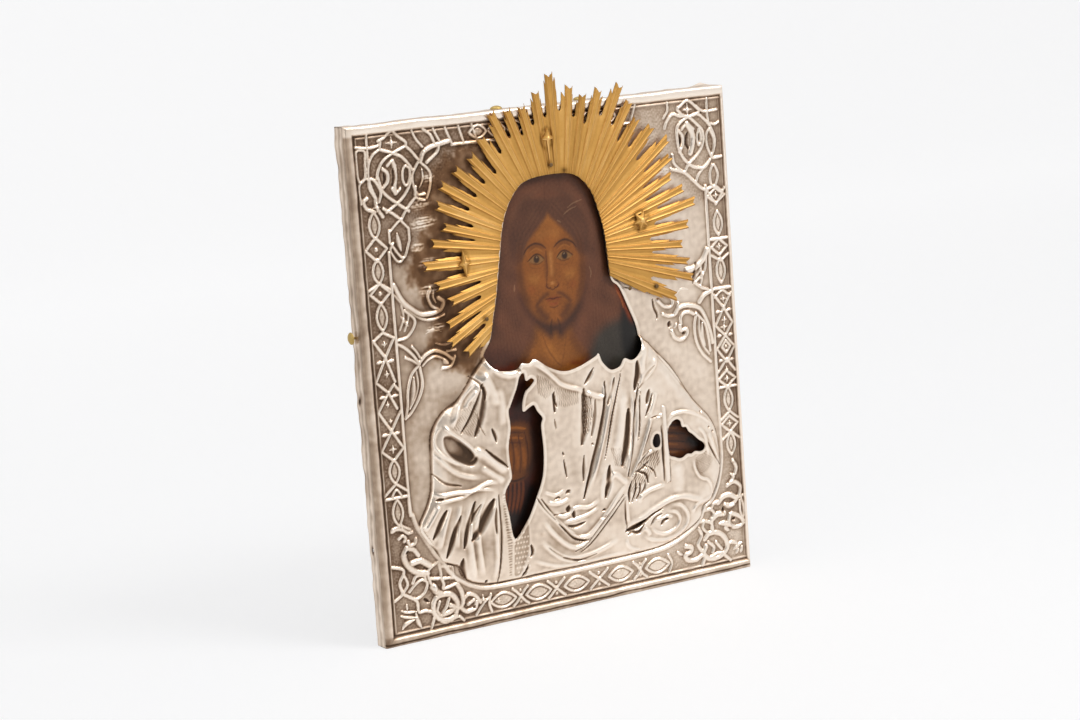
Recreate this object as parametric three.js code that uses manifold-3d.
import * as THREE from 'three';
import { mergeVertices } from 'three/addons/utils/BufferGeometryUtils.js';
import Module from 'manifold-3d';

const wasm = await Module();
wasm.setup();

// Driving sizes in millimetres. X runs across, Y into the panel and Z up; the front faces -Y.
const panelWidth = 265;
const panelHeight = 311;
const skirtDepth = 12.4;
const sheet = 0.6;
const fitGap = 0.3;
const cutOver = 5;

// Border of the cover: a rounded fold and bead, a groove, a sunk strip and a fillet.
const beadLeft = 6;
const beadRight = 2;
const beadTop = 6;
const beadBottom = 6;
const beadRise = 2;
const foldDrop = 1.6;
const threadWidth = 2.4;
const threadRise = 0.8;
const stripLeft = 14.6;
const stripRight = 12.1;
const stripTop = 12.5;
const stripBottom = 11.6;
const filletWidth = 2.4;
const filletRise = 1.2;
const seamLap = 1.5;

// Drapery beaten up out of the field
const robeRise = 3;
const robeSwell = 2.1;
const foldLimit = 2.2;
const robeShoulder = 9;
const robeWallRun = 1.6;
const robeWall = 1;
const reliefStep = 5;
const foldFloor = 0.3;

// Spandrels in the lower corners
const spandrelRise = 0.3;

// Gilt halo: a fan of stamped rays around the head opening, set a little to the left of it
const haloSheet = 0.5;
const haloStandoff = 2.5;
const haloRadius = 110;
const haloShift = 2;
const haloEdge = 0.3;
const rayCrest = 1.75;
const rayFoot = 0.5;
const nearShare = 0.5;
const bladeFoot = 0.46;
const bladeTop = 0.8;
const rayForkTop = 16;
const rayForkSide = 24;
const bladeHalfWidth = 2.75;
const gemHalfSize = 6;
const gemRise = 1.1;

// Painted panel
const paintThick = 0.4;
const groundThick = 1;
const linenThick = 0.4;
const boardSeamX = 9;
const battenThroat = 22;
const battenFoot = 26;
const battenSink = 3.6;
const battenProud = 2.6;
const battenStop = 13;

// Brass nails through the skirts, and pins through the halo
const nailHeadRadius = 3.7;
const nailHeadRise = 1.5;
const nailShankRadius = 0.9;
const nailShankLength = 11;
const looseNailLift = 2.2;
const pinHeadRadius = 1.5;
const pinHeadRise = 0.8;
const pinShankRadius = 0.6;
const pinGrip = 5;

// Hanging ring on a wire staple at the back
const wireRadius = 0.95;
const ringRadius = 9;
const stapleHalfSpan = 3.1;
const stapleLegSink = 5;
const stapleGap = 0.5;
const ringRunning = 0.35;
const hangerAboveBatten = 29.31;

// Levels worked out along Y, from the bead's crest at the front to the lip of the skirts
const frontY = -skirtDepth / 2;
const lipY = skirtDepth / 2;
const fieldY = frontY + beadRise;
const paintY = fieldY + sheet + fitGap;
const groundY = paintY + paintThick;
const linenY = groundY + groundThick;
const boardY = linenY + linenThick;
const halfWidth = panelWidth / 2;
const boardInset = sheet + fitGap;

// Places on the front as shares of the panel's width and height
const onPanel = ([xShare, zShare]) => new THREE.Vector2(xShare * panelWidth, zShare * panelHeight);

const headOpeningShares = [
  [0.019, 0.865], [0.079, 0.858], [0.117, 0.826], [0.134, 0.787], [0.147, 0.74], [0.152, 0.69],
  [0.158, 0.643], [0.179, 0.624], [0.2, 0.582], [0.219, 0.54], [0.221, 0.505], [0.204, 0.484],
  [0.17, 0.484], [0.152, 0.469], [0.128, 0.466], [0.106, 0.484], [0.075, 0.494], [0.038, 0.482],
  [0, 0.479], [-0.038, 0.492], [-0.068, 0.51], [-0.109, 0.508], [-0.15, 0.498], [-0.18, 0.506],
  [-0.195, 0.53], [-0.174, 0.56], [-0.165, 0.59], [-0.149, 0.645], [-0.134, 0.714], [-0.117, 0.785],
  [-0.09, 0.83], [-0.053, 0.858],
];
const blessingHandShares = [
  [-0.106, 0.489], [-0.128, 0.46], [-0.146, 0.43], [-0.152, 0.386], [-0.158, 0.354], [-0.158, 0.322],
  [-0.162, 0.28], [-0.177, 0.257], [-0.169, 0.215], [-0.155, 0.164], [-0.125, 0.193], [-0.098, 0.235],
  [-0.075, 0.28], [-0.068, 0.33], [-0.068, 0.39], [-0.074, 0.415], [-0.098, 0.424], [-0.114, 0.422],
  [-0.106, 0.45], [-0.08, 0.472], [-0.1, 0.478],
];
const orbHandShares = [
  [0.287, 0.338], [0.302, 0.341], [0.317, 0.33], [0.34, 0.305], [0.366, 0.29], [0.377, 0.275],
  [0.366, 0.264], [0.343, 0.267], [0.309, 0.26], [0.287, 0.265], [0.274, 0.28], [0.274, 0.318],
];
const orbThumbShares = [
  [0.233, 0.312], [0.245, 0.319], [0.253, 0.31], [0.252, 0.296], [0.238, 0.292], [0.229, 0.302],
];

// Outline of the robe, with its upper edge run across the head opening so that the opening trims it
const robeShares = [
  [-0.204, 0.524], [-0.279, 0.453], [-0.309, 0.441], [-0.332, 0.421], [-0.345, 0.402], [-0.358, 0.289],
  [-0.396, 0.222], [-0.381, 0.193], [-0.358, 0.17], [-0.343, 0.146], [-0.302, 0.129], [-0.283, 0.1],
  [-0.242, 0.085], [-0.189, 0.08], [0.189, 0.08], [0.257, 0.085], [0.343, 0.113], [0.366, 0.129],
  [0.372, 0.148], [0.392, 0.158], [0.411, 0.18], [0.426, 0.212], [0.43, 0.244], [0.425, 0.299],
  [0.408, 0.331], [0.358, 0.379], [0.302, 0.453], [0.234, 0.514], [0.189, 0.524], [-0.151, 0.534],
];

// Main folds: rise and half width in shares of the robe's rise, then the places along the fold
const foldShares = [
  [0.312, 1.32, [-0.226, 0.489], [-0.272, 0.45], [-0.298, 0.405]],
  [0.368, 1.02, [-0.079, 0.505], [-0.011, 0.455], [0.053, 0.431]],
  [0.368, 1.08, [0.053, 0.431], [0.098, 0.415], [0.106, 0.424], [0.106, 0.441]],
  [0.255, 1.16, [-0.181, 0.508], [-0.166, 0.495], [-0.143, 0.489], [-0.117, 0.491]],
  [0.34, 0.96, [-0.321, 0.414], [-0.253, 0.357], [-0.248, 0.341], [-0.264, 0.33]],
  [0.255, 0.96, [-0.321, 0.415], [-0.34, 0.399], [-0.343, 0.376], [-0.328, 0.356], [-0.275, 0.329]],
  [0.255, 1.28, [-0.347, 0.363], [-0.321, 0.334], [-0.294, 0.315], [-0.234, 0.299]],
  [0.425, 1.92, [-0.249, 0.36], [-0.162, 0.302]],
  [0.255, 1.44, [-0.234, 0.322], [-0.174, 0.283]],
  [0.312, 1.04, [-0.358, 0.286], [-0.34, 0.278], [-0.264, 0.276], [-0.219, 0.286], [-0.189, 0.283]],
  [0.312, 1.24, [-0.343, 0.26], [-0.385, 0.212]],
  [0.312, 1.32, [-0.317, 0.257], [-0.351, 0.17]],
  [0.255, 1.2, [-0.291, 0.257], [-0.302, 0.212], [-0.304, 0.167]],
  [0.283, 1.52, [-0.264, 0.257], [-0.272, 0.199], [-0.264, 0.096]],
  [0.255, 1.36, [-0.226, 0.264], [-0.249, 0.225], [-0.249, 0.167], [-0.242, 0.103]],
  [0.425, 1.16, [0.136, 0.46], [0.096, 0.341], [0.051, 0.241]],
  [0.283, 1.2, [0.109, 0.412], [0.094, 0.36], [0.042, 0.244]],
  [0.368, 0.92, [0.181, 0.415], [0.172, 0.322], [0.155, 0.244]],
  [0.255, 2.12, [0.158, 0.424], [0.151, 0.373], [0.125, 0.283]],
  [0.397, 1.12, [0.234, 0.363], [0.195, 0.286], [0.158, 0.235]],
  [0.255, 1.22, [0.268, 0.482], [0.332, 0.408]],
  [0.283, 1.48, [0.264, 0.479], [0.242, 0.45], [0.192, 0.418]],
  [0.255, 1.32, [0.091, 0.232], [0.117, 0.254], [0.155, 0.228]],
  [0.368, 1.18, [-0.091, 0.232], [-0.026, 0.17], [0.004, 0.148], [0.03, 0.141], [0.053, 0.151], [0.155, 0.233]],
  [0.312, 1.2, [-0.083, 0.193], [-0.049, 0.154], [-0.011, 0.127], [0.023, 0.122], [0.057, 0.14], [0.14, 0.209]],
  [0.283, 1.32, [-0.091, 0.151], [-0.053, 0.119], [-0.015, 0.101], [0.03, 0.1], [0.075, 0.106], [0.128, 0.122]],
  [0.312, 1.04, [-0.068, 0.225], [-0.038, 0.219], [-0.008, 0.225]],
  [0.255, 1.08, [-0.053, 0.204], [-0.023, 0.19], [0.008, 0.203], [0.045, 0.199], [0.075, 0.212]],
  [0.255, 0.94, [-0.03, 0.178], [0.038, 0.185], [0.072, 0.196]],
  [0.255, 0.9, [0.275, 0.341], [0.294, 0.354], [0.332, 0.354], [0.377, 0.338], [0.404, 0.318]],
  [0.283, 1.2, [0.392, 0.302], [0.423, 0.232]],
  [0.255, 1.08, [0.26, 0.212], [0.219, 0.208], [0.192, 0.198], [0.185, 0.183]],
  [0.283, 0.84, [0.345, 0.254], [0.346, 0.237], [0.357, 0.217], [0.383, 0.205], [0.394, 0.192], [0.398, 0.174]],
  [0.368, 1.4, [0.151, 0.143], [0.189, 0.15], [0.272, 0.177], [0.309, 0.178], [0.347, 0.167], [0.377, 0.164]],
  [0.283, 1, [0.192, 0.116], [0.219, 0.102], [0.257, 0.096], [0.294, 0.103], [0.319, 0.122], [0.321, 0.145], [0.302, 0.164], [0.272, 0.168]],
  [0.255, 0.92, [0.215, 0.129], [0.234, 0.116], [0.26, 0.111], [0.287, 0.119], [0.298, 0.135], [0.287, 0.151], [0.26, 0.156]],
  [0.255, 1.12, [0.332, 0.141], [0.351, 0.158], [0.4, 0.167]],
];

// Inner fillet of the frame: straight at the sides, swept round in the lower corners
const filletShares = [
  [-0.412, 0.929], [-0.412, 0.701], [-0.412, 0.482], [-0.412, 0.273], [-0.406, 0.248], [-0.396, 0.222],
  [-0.381, 0.199], [-0.366, 0.177], [-0.355, 0.161], [-0.34, 0.145], [-0.317, 0.116], [-0.283, 0.093],
  [-0.257, 0.082], [-0.226, 0.076], [-0.151, 0.073], [0, 0.072], [0.151, 0.073], [0.226, 0.076],
  [0.264, 0.079], [0.294, 0.087], [0.321, 0.096], [0.347, 0.109], [0.366, 0.125], [0.377, 0.145],
  [0.4, 0.158], [0.419, 0.183], [0.43, 0.212], [0.436, 0.241], [0.437, 0.273], [0.437, 0.482],
  [0.436, 0.701], [0.436, 0.929],
];

// Chased straps in the border: eyes, diamonds and crossings, then the ribs round the corners and the field's scrolls
const strapWidth = 1.5;
const strapRise = 0.85;
const scrollWidth = 2;
const scrollRise = 1.15;
const eyeSize = [0.0125, 0.0245];
const longEyeSize = [0.0325, 0.0138];
const smallEyeSize = [0.021, 0.0122];
const stripEyes = [
  ...[0.81, 0.723, 0.637, 0.339, 0.259].map((z) => [[-0.442, z], eyeSize]),
  ...[0.83, 0.723, 0.627, 0.36, 0.267].map((z) => [[0.466, z], eyeSize]),
  ...[-0.191, -0.096, 0.008, 0.13, 0.234].map((x) => [[x, 0.045], longEyeSize]),
  ...[0, 1, 2, 3, 4, 5, 6].map((i) => [[-0.166 + 0.049 * i, 0.963], smallEyeSize]),
];
const stripDiamonds = [
  ...[[0.765, 0.0225], [0.682, 0.0193], [0.526, 0.0338], [0.455, 0.037], [0.389, 0.029]]
    .map(([z, half]) => [[-0.442, z], [0.0264, half]]),
  ...[[0.78, 0.0148], [0.675, 0.0167], [0.521, 0.029], [0.465, 0.0273], [0.403, 0.0167], [0.309, 0.0167]]
    .map(([z, half]) => [[0.466, z], [0.0242, half]]),
  [[-0.389, 0.965], [0.034, 0.016]], [[0.396, 0.965], [0.03, 0.0153]],
];
const cornerRings = [
  [[-0.386, 0.896], [0.0415, 0.0469]], [[0.396, 0.897], [0.0415, 0.0469]],
  [[-0.347, 0.0675], [0.0302, 0.0241]], [[0.396, 0.0643], [0.0358, 0.0277]],
];
const strapLines = [
  [[-0.162, 0.028], [-0.126, 0.063]],
  [[-0.162, 0.063], [-0.126, 0.028]],
  [[-0.068, 0.028], [-0.027, 0.063]],
  [[-0.068, 0.063], [-0.027, 0.028]],
  [[0.047, 0.028], [0.092, 0.063]],
  [[0.047, 0.063], [0.092, 0.028]],
  [[0.169, 0.028], [0.2, 0.063]],
  [[0.169, 0.063], [0.2, 0.028]],
  [[0.442, 0.59], [0.491, 0.59]],
  [[0.442, 0.691], [0.491, 0.691]],
  [[0.442, 0.386], [0.491, 0.386]],
  [[-0.47, 0.288], [-0.415, 0.288]],
  [[-0.419, 0.945], [0.438, 0.945]],
  [[-0.419, 0.952], [-0.443, 0.929], [-0.449, 0.897], [-0.43, 0.855]],
  [[-0.419, 0.952], [-0.389, 0.944], [-0.351, 0.955], [-0.321, 0.92]],
  [[0.347, 0.952], [0.396, 0.945], [0.426, 0.952], [0.453, 0.932], [0.464, 0.904], [0.453, 0.862]],
  [[0.332, 0.936], [0.343, 0.916], [0.347, 0.868], [0.366, 0.842]],
  [[-0.43, 0.855], [-0.4, 0.836], [-0.358, 0.797], [-0.358, 0.775]],
  [[-0.34, 0.859], [-0.381, 0.814], [-0.404, 0.797], [-0.408, 0.775]],
  [[0.366, 0.842], [0.392, 0.823], [0.438, 0.791]],
  [[0.453, 0.862], [0.4, 0.82], [0.381, 0.804]],
  [[-0.408, 0.775], [-0.377, 0.743], [-0.358, 0.778]],
  [[-0.449, 0.186], [-0.438, 0.161], [-0.43, 0.141], [-0.408, 0.135]],
  [[-0.442, 0.103], [-0.415, 0.09], [-0.385, 0.116], [-0.408, 0.129]],
  [[-0.302, 0.093], [-0.298, 0.064], [-0.302, 0.039], [-0.321, 0.029]],
  [[0.309, 0.071], [0.317, 0.039], [0.34, 0.032], [0.366, 0.055]],
  [[0.423, 0.161], [0.445, 0.164], [0.479, 0.135]],
];
const scrollLines = [
  [[-0.408, 0.695], [-0.389, 0.662], [-0.366, 0.643], [-0.34, 0.63], [-0.302, 0.632], [-0.287, 0.65]],
  [[-0.411, 0.582], [-0.374, 0.556], [-0.358, 0.537]],
  [[-0.358, 0.54], [-0.317, 0.558], [-0.275, 0.537]],
  [[-0.362, 0.534], [-0.392, 0.489], [-0.404, 0.437]],
  [[-0.358, 0.531], [-0.355, 0.498], [-0.389, 0.447]],
  [[0.43, 0.672], [0.415, 0.653], [0.37, 0.637]],
  [[0.438, 0.588], [0.4, 0.569]],
  [[0.283, 0.585], [0.298, 0.572], [0.325, 0.579]],
  [[0.328, 0.553], [0.362, 0.566], [0.392, 0.559], [0.423, 0.514], [0.43, 0.482]],
  [[0.317, 0.518], [0.343, 0.498], [0.358, 0.518]],
  [[0.389, 0.547], [0.381, 0.521], [0.385, 0.489], [0.423, 0.444]],
  [[0.392, 0.543], [0.419, 0.495], [0.423, 0.466]],
];

// Each ray's heading in degrees and reach as a share of the halo's, counted round from the lower right
const rayTurns = [
  -25.3, -16.4, -10.6, -3.7, 4, 11.7, 18.1, 24.8, 31.2, 37.1, 45.2, 51.9, 57.8, 63.7, 71.1, 77, 83,
  90.8, 96.7, 103.6, 109.7, 116, 124.7, 132.3, 140.4, 148.1, 155.4, 162.7, 169.7, 178, 186.2, 194,
  202.2, 208.6, 216.1,
];
const rayReachShares = [
  0.814, 0.889, 0.848, 0.795, 0.842, 0.916, 0.86, 0.825, 0.882, 0.93, 0.901, 0.885, 0.932, 0.994, 0.93,
  0.883, 0.921, 0.995, 0.905, 0.858, 0.873, 0.91, 0.837, 0.807, 0.836, 0.868, 0.852, 0.783, 0.834,
  0.88, 0.818, 0.759, 0.817, 0.861, 0.811,
];
const haloCentreShare = [0.026, 0.711];
const gemShares = [[0.004, 0.932], [-0.234, 0.717], [0.242, 0.752]];
const pinShares = [[0.008, 0.884], [0.197, 0.621], [0.271, 0.617], [-0.189, 0.605]];

// Nails: which skirt they go through, and where along it as a share of its length
const leftNailShares = [0.602];
const rightNailShares = [0.19, 0.408, 0.602, 0.86];
const topNailShares = [-0.1, 0.12];
const emptyHoleShares = [0.48, 0.19];
const battenShares = [0.22, 0.79];

// Solids and meshes
function solidOf(geometry) {
  const bare = geometry.clone();
  for (const name of Object.keys(bare.attributes)) {
    if (name !== 'position') bare.deleteAttribute(name);
  }
  const merged = mergeVertices(bare, 1e-4);
  return new wasm.Manifold(new wasm.Mesh({
    numProp: 3,
    vertProperties: new Float32Array(merged.attributes.position.array),
    triVerts: new Uint32Array(merged.index.array),
  }));
}

function geometryOf(solid) {
  const cut = solid.getMesh();
  const geometry = new THREE.BufferGeometry();
  geometry.setAttribute('position', new THREE.BufferAttribute(new Float32Array(cut.vertProperties), 3));
  geometry.setIndex(new THREE.BufferAttribute(new Uint32Array(cut.triVerts), 1));
  geometry.computeVertexNormals();
  return geometry;
}

function finish(color, metalness, roughness) {
  return new THREE.MeshStandardMaterial({ color, metalness, roughness });
}

const group = new THREE.Group();
function add(name, shape, material) {
  const geometry = shape.isBufferGeometry ? shape : geometryOf(shape);
  const mesh = new THREE.Mesh(geometry, material);
  mesh.name = name;
  group.add(mesh);
  return mesh;
}

// A prism on the front view's outline, from one level along Y to a deeper one
function prism(outline, nearY, farY, holes = []) {
  const shape = new THREE.Shape(outline);
  for (const hole of holes) shape.holes.push(new THREE.Path(hole));
  const geometry = new THREE.ExtrudeGeometry(shape, {
    depth: farY - nearY, bevelEnabled: false, curveSegments: 1,
  });
  geometry.rotateX(Math.PI / 2);
  geometry.translate(0, farY, 0);
  return solidOf(geometry);
}

// A box given by its lowest and highest corners
function block(low, high) {
  const size = [0, 1, 2].map((i) => high[i] - low[i]);
  const geometry = new THREE.BoxGeometry(...size);
  geometry.translate(...[0, 1, 2].map((i) => (high[i] + low[i]) / 2));
  return solidOf(geometry);
}

// A smooth closed outline through hand-chosen shares, with a few points between each pair
function smoothOutline(shares, pointsPerSpan = 2) {
  const curve = new THREE.SplineCurve([...shares, shares[0]].map(onPanel));
  return curve.getPoints(shares.length * pointsPerSpan).slice(0, -1);
}

// Distance from a place to an outline, and whether the place is inside it
function edgeDistance(outline, x, z) {
  let nearest = Infinity;
  let inside = false;
  outline.forEach((a, i) => {
    const b = outline[(i + 1) % outline.length];
    nearest = Math.min(nearest, segmentDistance(a, b, x, z));
    if ((a.y > z) !== (b.y > z) && x < ((b.x - a.x) * (z - a.y)) / (b.y - a.y) + a.x) inside = !inside;
  });
  return inside ? nearest : -nearest;
}

function segmentDistance(a, b, x, z) {
  const span = b.clone().sub(a);
  const along = THREE.MathUtils.clamp(((x - a.x) * span.x + (z - a.y) * span.y) / span.lengthSq(), 0, 1);
  return Math.hypot(x - a.x - span.x * along, z - a.y - span.y * along);
}

// A closed body between a height map over a grid and a flat back
function heightBody(rise, low, high, step, backY) {
  const columns = Math.ceil((high.x - low.x) / step);
  const rows = Math.ceil((high.y - low.y) / step);
  const positions = [];
  const faces = [];
  for (const back of [false, true]) {
    for (let row = 0; row <= rows; row++) {
      for (let column = 0; column <= columns; column++) {
        const x = THREE.MathUtils.lerp(low.x, high.x, column / columns);
        const z = THREE.MathUtils.lerp(low.y, high.y, row / rows);
        positions.push(x, back ? backY : fieldY - rise(x, z), z);
      }
    }
  }
  const backStart = (rows + 1) * (columns + 1);
  const at = (row, column) => row * (columns + 1) + column;
  const quad = (a, b, c, d) => faces.push(a, b, c, a, c, d);
  for (let row = 0; row < rows; row++) {
    for (let column = 0; column < columns; column++) {
      const corners = [at(row, column), at(row, column + 1), at(row + 1, column + 1), at(row + 1, column)];
      quad(...corners);
      quad(...corners.map((i) => i + backStart).reverse());
    }
  }
  const rim = [];
  for (let column = 0; column < columns; column++) rim.push(at(0, column));
  for (let row = 0; row < rows; row++) rim.push(at(row, columns));
  for (let column = columns; column > 0; column--) rim.push(at(rows, column));
  for (let row = rows; row > 0; row--) rim.push(at(row, 0));
  rim.forEach((a, i) => {
    const b = rim[(i + 1) % rim.length];
    quad(a, a + backStart, b + backStart, b);
  });
  const geometry = new THREE.BufferGeometry();
  geometry.setAttribute('position', new THREE.Float32BufferAttribute(positions, 3));
  geometry.setIndex(faces);
  return solidOf(geometry);
}

// Openings cut through the cover
const headOpening = smoothOutline(headOpeningShares);
const blessingHand = smoothOutline(blessingHandShares);
const orbHand = smoothOutline(orbHandShares);
const orbThumb = smoothOutline(orbThumbShares, 1);
const reliefTop = robeRise + robeSwell + foldLimit;
const cutNearY = fieldY - reliefTop - cutOver;
const openings = [headOpening, blessingHand, orbHand, orbThumb];

function cutOpenings(solid) {
  return openings.reduce((left, outline) => left.subtract(prism(outline, cutNearY, paintY)), solid);
}

// Border: one section carried round the four sides and mitred at the corners
function borderRing() {
  const beadShares = [0, 0.16, 0.5, 0.82, 1];
  const beadLevels = [beadRise - foldDrop, beadRise - foldDrop / 4, beadRise, beadRise - foldDrop / 3, 0];
  const sections = [
    { bead: beadLeft, strip: stripLeft },
    { bead: beadBottom, strip: stripBottom },
    { bead: beadRight, strip: stripRight },
    { bead: beadTop, strip: stripTop },
  ].map(({ bead, strip }) => {
    const threadEnd = bead + threadWidth;
    const stripEnd = threadEnd + strip;
    return [
      ...beadShares.map((share) => bead * share), bead + threadWidth / 2, threadEnd,
      stripEnd, stripEnd + seamLap,
    ];
  });
  const levels = [...beadLevels, threadRise, 0, 0, 0];
  const lip = fieldY - lipY;
  const outside = [[0, lip], ...levels.map((level, i) => [i, level])];
  const insetOf = (side, i, inner) => Math.max(sections[side][i], inner ? sheet : 0);
  const corner = (across, up, i, level, inner) => {
    const x = across === 0 ? -halfWidth + insetOf(0, i, inner) : halfWidth - insetOf(2, i, inner);
    const z = up === 1 ? insetOf(1, i, inner) : panelHeight - insetOf(3, i, inner);
    return [x, fieldY - level, z];
  };
  const loop = [
    ...outside.map(([i, level]) => ({ i, level, inner: false })),
    ...outside.slice(1).reverse().map(([i, level]) => ({ i, level: level - sheet, inner: true })),
    { i: 0, level: lip, inner: true },
  ];
  const turns = [[0, 1], [2, 1], [2, 3], [0, 3]];
  const positions = turns.flatMap(([across, up]) =>
    loop.flatMap(({ i, level, inner }) => corner(across, up, i, level, inner)));
  const faces = [];
  turns.forEach((_, turn) => {
    const next = ((turn + 1) % turns.length) * loop.length;
    const here = turn * loop.length;
    loop.forEach((__, i) => {
      const after = (i + 1) % loop.length;
      faces.push(here + i, next + i, next + after, here + i, next + after, here + after);
    });
  });
  const geometry = new THREE.BufferGeometry();
  geometry.setAttribute('position', new THREE.Float32BufferAttribute(positions, 3));
  geometry.setIndex(faces);
  return solidOf(geometry);
}

// Inner edge of the border ring, which the flat field laps under
const fieldLow = new THREE.Vector2(
  -halfWidth + beadLeft + threadWidth + stripLeft,
  beadBottom + threadWidth + stripBottom,
);
const fieldHigh = new THREE.Vector2(
  halfWidth - beadRight - threadWidth - stripRight,
  panelHeight - beadTop - threadWidth - stripTop,
);

// Robe: a hollow relief with a wall down to the field all round
const robeOutline = robeShares.map(onPanel);
const folds = foldShares.map(([rise, width, ...places]) => ({
  line: places.map(onPanel), rise: rise * robeRise, width: width * robeRise,
}));

function lineDistance(line, x, z) {
  return line.slice(1).reduce((least, point, i) => Math.min(least, segmentDistance(line[i], point, x, z)), Infinity);
}

function robeHeight(x, z) {
  const inward = edgeDistance(robeOutline, x, z);
  const wall = THREE.MathUtils.smoothstep(inward, 0, robeWallRun);
  const rounded = Math.sin((THREE.MathUtils.clamp(inward / robeShoulder, 0, 1) * Math.PI) / 2);
  const across = x / halfWidth;
  const up = z / panelHeight;
  const swell = robeSwell * Math.max(0, 1 - across * across) * THREE.MathUtils.smoothstep(up, 0.06, 0.26);
  const ridges = folds.reduce((sum, fold) => {
    const off = lineDistance(fold.line, x, z) / fold.width;
    return sum + (off < 1 ? (fold.rise * (1 + Math.cos(off * Math.PI))) / 2 : 0);
  }, 0);
  const body = (robeRise / 2) * (wall + rounded * (1 + swell));
  return Math.max(foldFloor, body + wall * Math.min(ridges, foldLimit));
}

function robeRelief() {
  const low = new THREE.Vector2(
    Math.min(...robeOutline.map((p) => p.x)) - seamLap,
    Math.min(...robeOutline.map((p) => p.y)) - seamLap,
  );
  const high = new THREE.Vector2(
    Math.max(...robeOutline.map((p) => p.x)) + seamLap,
    Math.max(...robeOutline.map((p) => p.y)) + seamLap,
  );
  const full = heightBody(robeHeight, low, high, reliefStep, fieldY + sheet);
  const hollow = heightBody((x, z) => robeHeight(x, z) - sheet, low, high, reliefStep, fieldY + sheet + cutOver);
  const inner = insetOutline(robeOutline, robeWall);
  return {
    outside: full.intersect(prism(robeOutline, cutNearY, fieldY + sheet)),
    inside: hollow.intersect(prism(inner, cutNearY, fieldY + sheet + cutOver)),
  };
}

// An outline moved inwards by moving each point along the mean normal of its two edges
function insetOutline(outline, distance) {
  const area = THREE.ShapeUtils.area(outline);
  const turn = Math.sign(area) * distance;
  return outline.map((point, i) => {
    const before = outline[(i + outline.length - 1) % outline.length];
    const after = outline[(i + 1) % outline.length];
    const along = after.clone().sub(before).normalize();
    return new THREE.Vector2(point.x - along.y * turn, point.y + along.x * turn);
  });
}

// Field, fillet, spandrels and chased straps
function fieldPlate() {
  const corners = [
    [fieldLow.x, fieldLow.y], [fieldHigh.x, fieldLow.y],
    [fieldHigh.x, fieldHigh.y], [fieldLow.x, fieldHigh.y],
  ].map(([x, z]) => new THREE.Vector2(x, z));
  return prism(insetOutline(corners, -seamLap / 2), fieldY, fieldY + sheet);
}

function filletRidge() {
  const line = new THREE.SplineCurve(filletShares.map(onPanel)).getPoints(filletShares.length * 2);
  const clipped = line.filter((p) => p.y < fieldHigh.y);
  const outer = insetOpen(clipped, -filletWidth / 2);
  const inner = insetOpen(clipped, filletWidth / 2);
  return prism([...outer, ...inner.reverse()], fieldY - filletRise, fieldY + sheet);
}

function insetOpen(line, distance) {
  return line.map((point, i) => {
    const before = line[Math.max(i - 1, 0)];
    const after = line[Math.min(i + 1, line.length - 1)];
    const along = after.clone().sub(before).normalize();
    return new THREE.Vector2(point.x - along.y * distance, point.y + along.x * distance);
  });
}

function spandrels() {
  const line = new THREE.SplineCurve(filletShares.map(onPanel)).getPoints(filletShares.length * 2);
  const middle = line.filter((p) => p.y < panelHeight / 3);
  return [-1, 1].map((side) => {
    const bend = middle.filter((p) => p.x * side > 0.2 * panelWidth);
    const corner = side < 0
      ? new THREE.Vector2(fieldLow.x - seamLap, fieldLow.y - seamLap)
      : new THREE.Vector2(fieldHigh.x + seamLap, fieldLow.y - seamLap);
    return prism([corner, ...bend], fieldY - spandrelRise, fieldY + sheet);
  });
}

// Ribs along a line, and hoops round a place: an eye has curved sides and a diamond straight ones
function rib(places, width, rise) {
  const line = places.map(onPanel);
  const sides = [...insetOpen(line, -width / 2), ...insetOpen(line, width / 2).reverse()];
  return prism(sides, fieldY - rise, fieldY + sheet / 2);
}

const eyeSide = (share) => 1 - share * share;
const diamondSide = (share) => 1 - Math.abs(share);
const ringSide = (share) => Math.sqrt(1 - share * share);

function hoop([place, size], side, steps) {
  const centre = onPanel(place);
  const half = onPanel(size);
  const ring = (grow) => {
    const shares = Array.from({ length: steps * 2 }, (_, i) => -1 + i / steps);
    const point = (share, sign) => new THREE.Vector2(
      centre.x + sign * (half.x + grow) * side(share), centre.y + sign * (half.y + grow) * share,
    );
    return [...shares.map((share) => point(share, 1)), ...shares.map((share) => point(share, -1))];
  };
  return prism(ring(strapWidth / 2), fieldY - strapRise, fieldY + sheet / 2, [ring(-strapWidth / 2)]);
}

function strapwork() {
  return [
    ...stripEyes.map((eye) => hoop(eye, eyeSide, 2)),
    ...stripDiamonds.map((diamond) => hoop(diamond, diamondSide, 1)),
    ...cornerRings.map((ring) => hoop(ring, ringSide, 4)),
    ...strapLines.map((line) => rib(line, strapWidth, strapRise)),
    ...scrollLines.map((line) => rib(line, scrollWidth, scrollRise)),
  ];
}

// Halo: each ray is a flat-topped blade between lower flats, forked at its tip
const haloCentre = onPanel(haloCentreShare);
const haloFrontLevel = haloStandoff + haloSheet;

function openingReach(angle) {
  const heading = new THREE.Vector2(Math.cos(angle), Math.sin(angle));
  const from = new THREE.Vector2(haloCentre.x + haloShift, haloCentre.y);
  let reach = 0;
  headOpening.forEach((a, i) => {
    const b = headOpening[(i + 1) % headOpening.length];
    const span = b.clone().sub(a);
    const toA = a.clone().sub(from);
    const cross = heading.cross(span);
    const far = toA.cross(span) / cross;
    const along = toA.cross(heading) / cross;
    if (along >= 0 && along <= 1) reach = Math.max(reach, far);
  });
  return reach;
}

// Angle of the seam before ray k, halfway between its neighbours
const rayAngles = rayTurns.map(THREE.MathUtils.degToRad);
function seamAngle(k) {
  const last = rayAngles.length - 1;
  if (k === 0) return (3 * rayAngles[0] - rayAngles[1]) / 2;
  if (k > last) return (3 * rayAngles[last] - rayAngles[last - 1]) / 2;
  return (rayAngles[k - 1] + rayAngles[k]) / 2;
}

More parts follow.
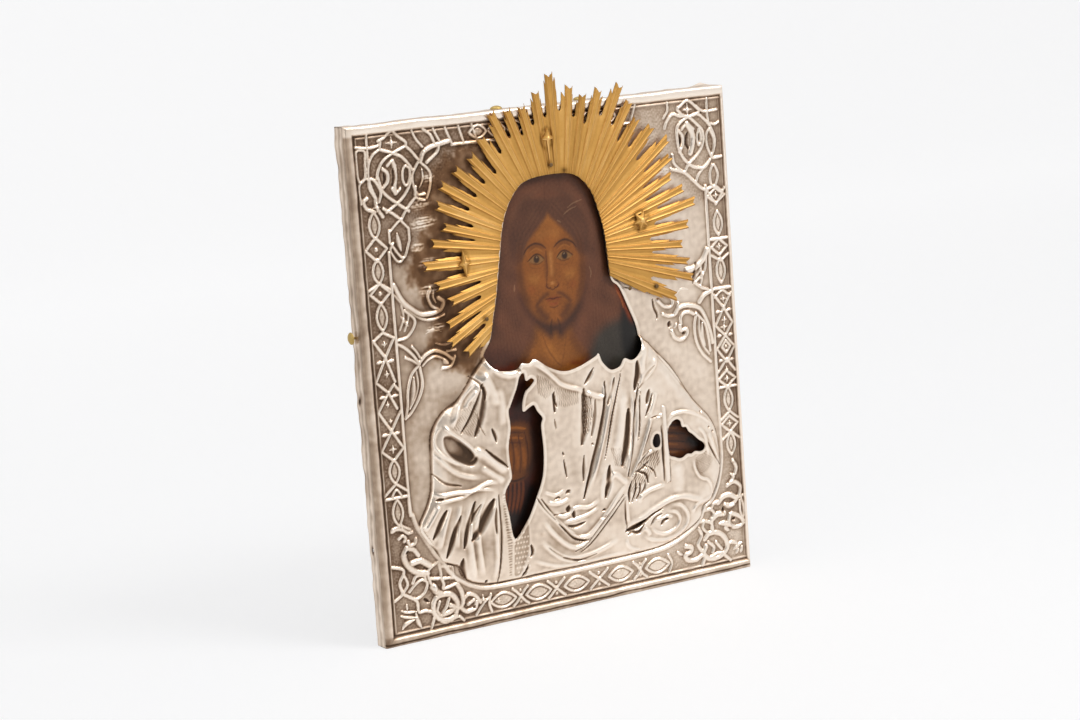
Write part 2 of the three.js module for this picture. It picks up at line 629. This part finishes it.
function haloBody() {
  const count = rayReachShares.length;
  const reachOf = (k) => rayReachShares[THREE.MathUtils.clamp(k, 0, count - 1)] * haloRadius;
  const place = (angle, radius, sideways, level) => [
    haloCentre.x + Math.cos(angle) * radius - Math.sin(angle) * sideways,
    fieldY - haloFrontLevel - level,
    haloCentre.y + Math.sin(angle) * radius + Math.cos(angle) * sideways,
  ];
  const front = [];
  const put = (...args) => front.push(place(...args)) - 1;
  const seams = [];
  for (let k = 0; k <= count; k++) {
    const angle = seamAngle(k);
    const upright = Math.max(Math.sin(angle), 0) ** 3;
    const fork = THREE.MathUtils.lerp(rayForkSide, rayForkTop, upright);
    const root = Math.min(reachOf(k - 1), reachOf(k)) - fork;
    seams.push({ inner: put(angle, openingReach(angle) + haloEdge, 0, 0), root: put(angle, root, 0, 0), reach: root });
  }
  const faces = [];
  const quad = (a, b, c, d) => faces.push([a, b, c], [a, c, d]);
  const outer = [];
  const innerEdge = [];
  for (let k = 0; k < count; k++) {
    const angle = rayAngles[k];
    const [before, after] = [seams[k], seams[k + 1]];
    const half = Math.min(angle - seamAngle(k), seamAngle(k + 1) - angle);
    // Foot and top edge of the blade on each side, at the inner edge, where the gaps begin, and at the tip
    const crossing = (radius, share) => {
      const foot = Math.min(bladeFoot * radius * Math.tan(half), bladeHalfWidth);
      return [[-1, rayFoot], [-bladeTop, rayCrest], [bladeTop, rayCrest], [1, rayFoot]]
        .map(([side, level]) => put(angle, radius, side * foot, level * share));
    };
    const near = crossing(openingReach(angle) + haloEdge, nearShare);
    const mid = crossing((before.reach + after.reach) / 2, 1);
    const far = crossing(reachOf(k), 1);
    const notch = put(angle, reachOf(k) - bladeHalfWidth, 0, rayCrest);
    quad(before.inner, before.root, mid[0], near[0]);
    for (let i = 0; i < 3; i++) quad(near[i], mid[i], mid[i + 1], near[i + 1]);
    quad(near[3], mid[3], after.root, after.inner);
    faces.push([before.root, far[0], mid[0]]);
    quad(mid[0], far[0], far[1], mid[1]);
    faces.push([mid[1], far[1], notch], [mid[1], notch, mid[2]], [mid[2], notch, far[2]]);
    quad(mid[2], far[2], far[3], mid[3]);
    faces.push([mid[3], far[3], after.root]);
    outer.push(before.root, far[0], far[1], notch, far[2], far[3]);
    innerEdge.push(before.inner, ...near);
  }
  const rim = [...outer, seams[count].root, seams[count].inner, ...innerEdge.reverse()];
  const positions = [...front, ...front.map(([x, y, z]) => [x, y + haloSheet, z])].flat();
  const backStart = front.length;
  const index = faces.flatMap(([a, b, c]) => [a, b, c, a + backStart, c + backStart, b + backStart]);
  rim.forEach((a, i) => {
    const b = rim[(i + 1) % rim.length];
    index.push(a, a + backStart, b + backStart, a, b + backStart, b);
  });
  const geometry = new THREE.BufferGeometry();
  geometry.setAttribute('position', new THREE.Float32BufferAttribute(positions, 3));
  geometry.setIndex(index);
  return solidOf(geometry);
}

function starGem(share) {
  const place = onPanel(share);
  const points = 8;
  const base = fieldY - haloFrontLevel + haloSheet / 2;
  const positions = [place.x, fieldY - haloFrontLevel - rayCrest - gemRise, place.y, place.x, base, place.y];
  const index = [];
  for (let i = 0; i < points; i++) {
    const angle = (i / points) * Math.PI * 2;
    const reach = gemHalfSize * (i % 2 ? 0.4 : 1);
    positions.push(place.x + Math.cos(angle) * reach, base, place.y + Math.sin(angle) * reach);
    const here = 2 + i;
    const next = 2 + ((i + 1) % points);
    index.push(0, here, next, 1, next, here);
  }
  const geometry = new THREE.BufferGeometry();
  geometry.setAttribute('position', new THREE.Float32BufferAttribute(positions, 3));
  geometry.setIndex(index);
  return solidOf(geometry);
}

// Fixings
function turned(points, segments) {
  const profile = points.map(([radius, level]) => new THREE.Vector2(radius, level));
  return new THREE.LatheGeometry(profile, segments);
}

function nailShape(shank, length, head, rise, segments) {
  return turned([
    [0, -length], [shank, -length + shank * 2], [shank, 0], [head, 0],
    [head * 0.92, rise * 0.4], [head * 0.6, rise * 0.85], [0, rise],
  ], segments);
}

function drill(radius, length, turn, place) {
  const geometry = new THREE.CylinderGeometry(radius, radius, length, 6);
  geometry.rotateX(turn.x);
  geometry.rotateZ(turn.z);
  geometry.translate(...place);
  return solidOf(geometry);
}

const nailY = (boardY + lipY) / 2;
const halfTurn = Math.PI / 2;
const nailSpots = [
  ...leftNailShares.map((share) => ({
    name: 'skirt_nail_left_loose', place: [-halfWidth, nailY, share * panelHeight],
    out: [-1, 0, 0], turn: { x: 0, z: halfTurn }, lift: looseNailLift,
  })),
  ...rightNailShares.map((share, i) => ({
    name: `skirt_nail_right_${i + 1}`, place: [halfWidth, nailY, share * panelHeight],
    out: [1, 0, 0], turn: { x: 0, z: -halfTurn }, lift: fitGap,
  })),
  ...topNailShares.map((share, i) => ({
    name: `skirt_nail_top_${i + 1}`, place: [share * panelWidth, nailY, panelHeight],
    out: [0, 0, 1], turn: { x: halfTurn, z: 0 }, lift: fitGap,
  })),
];
const emptyHoles = emptyHoleShares.map((share) => ({
  place: [-halfWidth, nailY, share * panelHeight], turn: { x: 0, z: halfTurn },
}));
const nailReach = 2 * (nailShankLength + fitGap);
const nailHoles = [...nailSpots, ...emptyHoles].map(({ place, turn }) =>
  drill(nailShankRadius + fitGap, nailReach, turn, place));

const pinPlaces = pinShares.map(onPanel);
const pinSeatY = fieldY - haloFrontLevel - rayCrest - fitGap;
const pinLength = boardY + pinGrip - pinSeatY;
const pinHoles = pinPlaces.map((place) =>
  drill(pinShankRadius + fitGap, 2 * (pinLength + fitGap), { x: 0, z: 0 }, [place.x, pinSeatY, place.y]));

function drilled(solid, holes) {
  return holes.reduce((left, hole) => left.subtract(hole), solid);
}

// Panel boards with their dovetailed grooves, and the battens in them
function alongX(outline, lowX, highX) {
  const shape = new THREE.Shape(outline.map(([y, z]) => new THREE.Vector2(y, z)));
  const geometry = new THREE.ExtrudeGeometry(shape, { depth: highX - lowX, bevelEnabled: false });
  geometry.applyMatrix4(new THREE.Matrix4().makeBasis(
    new THREE.Vector3(0, 1, 0), new THREE.Vector3(0, 0, 1), new THREE.Vector3(1, 0, 0),
  ));
  geometry.translate(lowX, 0, 0);
  return solidOf(geometry);
}

function dovetail(z, ease, outY) {
  const foot = battenFoot / 2 + ease;
  const throat = battenThroat / 2 + ease;
  const deep = lipY - battenSink - ease;
  return [[deep, z - foot], [lipY, z - throat], [outY, z - throat], [outY, z + throat], [lipY, z + throat], [deep, z + foot]];
}

const battens = battenShares.map((share, i) => {
  const z = share * panelHeight;
  const end = halfWidth - battenStop;
  const grooveEnd = halfWidth + cutOver;
  const [grooveLow, grooveHigh] = i === 0 ? [-grooveEnd, end + fitGap] : [-end - fitGap, grooveEnd];
  return {
    body: alongX(dovetail(z, 0, lipY + battenProud), -end, end),
    groove: alongX(dovetail(z, fitGap, lipY + cutOver), grooveLow, grooveHigh),
  };
});

// Staple: a wire driven in by its two legs, one above the other, so that the ring passes through sideways
const upperBattenTop = battenShares[1] * panelHeight + battenFoot / 2;
const hangerHeight = upperBattenTop + hangerAboveBatten;
const ringY = lipY + stapleGap + wireRadius;
const crownY = ringY + 2 * (wireRadius + ringRunning);
const ringPivotZ = hangerHeight - stapleHalfSpan + 2 * wireRadius + ringRunning;

function stapleBody() {
  const legEndY = lipY - stapleLegSink;
  const bendY = crownY - stapleHalfSpan / 2;
  const points = [
    [legEndY, 1], [lipY, 1], [bendY, 1], [crownY, 0.45], [crownY, -0.45], [bendY, -1], [lipY, -1], [legEndY, -1],
  ].map(([y, share]) => new THREE.Vector3(0, y, hangerHeight + share * stapleHalfSpan));
  const wire = new THREE.Shape();
  wire.absarc(0, 0, wireRadius, 0, Math.PI * 2);
  return new THREE.ExtrudeGeometry(wire, {
    steps: 20, curveSegments: 4, extrudePath: new THREE.CatmullRomCurve3(points, false, 'centripetal'),
  });
}

const stapleHoles = [-1, 1].map((side) =>
  drill(wireRadius + fitGap * 2, 2 * (stapleLegSink + fitGap), { x: 0, z: 0 },
    [0, lipY, hangerHeight + side * stapleHalfSpan]));

function panelLayer(lowX, highX, nearY, farY) {
  return block([lowX, nearY, boardInset], [highX, farY, panelHeight - boardInset]);
}

// Materials and the finished assembly
const silver = finish(0xb5a598, 0.9, 0.38);
const gilt = finish(0xc8923a, 0.95, 0.34);
const brass = finish(0xa9823c, 0.9, 0.4);
const iron = finish(0x4c4642, 0.8, 0.6);
const timber = finish(0x8a6238, 0, 0.75);
const battenTimber = finish(0x6f4c2c, 0, 0.75);
const chalk = finish(0xd9cdb8, 0, 0.9);
const cloth = finish(0xb9a98c, 0, 0.95);
const paint = finish(0x5a3a2c, 0, 0.5);

const panelEdge = halfWidth - boardInset;
const boardHoles = [...nailHoles, ...pinHoles, ...stapleHoles, ...battens.map((batten) => batten.groove)];
add('board_left', drilled(panelLayer(-panelEdge, boardSeamX, boardY, lipY), boardHoles), timber);
add('board_right', drilled(panelLayer(boardSeamX, panelEdge, boardY, lipY), boardHoles), timber);
add('back_batten_lower', battens[0].body, battenTimber);
add('back_batten_upper', battens[1].body, battenTimber);
add('linen_cloth', drilled(panelLayer(-panelEdge, panelEdge, linenY, boardY), pinHoles), cloth);
add('gesso_ground', drilled(panelLayer(-panelEdge, panelEdge, groundY, linenY), pinHoles), chalk);
add('paint_layer', drilled(panelLayer(-panelEdge, panelEdge, paintY, groundY), pinHoles), paint);

const robe = robeRelief();
const coverParts = [fieldPlate(), filletRidge(), ...spandrels(), ...strapwork(), robe.outside];
const cover = coverParts.reduce((joined, solid) => joined.add(solid), borderRing()).subtract(robe.inside);
add('oklad_cover', drilled(cutOpenings(cover), [...nailHoles, ...pinHoles]), silver);

const halo = gemShares.map(starGem).reduce((joined, gem) => joined.add(gem), haloBody());
add('halo', drilled(halo, pinHoles), gilt);

for (const { name, place, out, turn, lift } of nailSpots) {
  const nail = add(name, nailShape(nailShankRadius, nailShankLength, nailHeadRadius, nailHeadRise, 12), brass);
  nail.rotation.set(turn.x, 0, turn.z);
  nail.position.set(...place.map((value, i) => value + out[i] * lift));
}
pinPlaces.forEach((place, i) => {
  const pin = add(`halo_pin_${i + 1}`, nailShape(pinShankRadius, pinLength, pinHeadRadius, pinHeadRise, 10), brass);
  pin.rotation.set(Math.PI, 0, 0);
  pin.position.set(place.x, pinSeatY, place.y);
});

add('hanger_staple', stapleBody(), iron);
const ring = add('hanging_ring', new THREE.TorusGeometry(ringRadius, wireRadius, 8, 28), iron);
ring.rotation.set(halfTurn, 0, 0);
ring.position.set(0, ringY, ringPivotZ - ringRadius);

export default group;
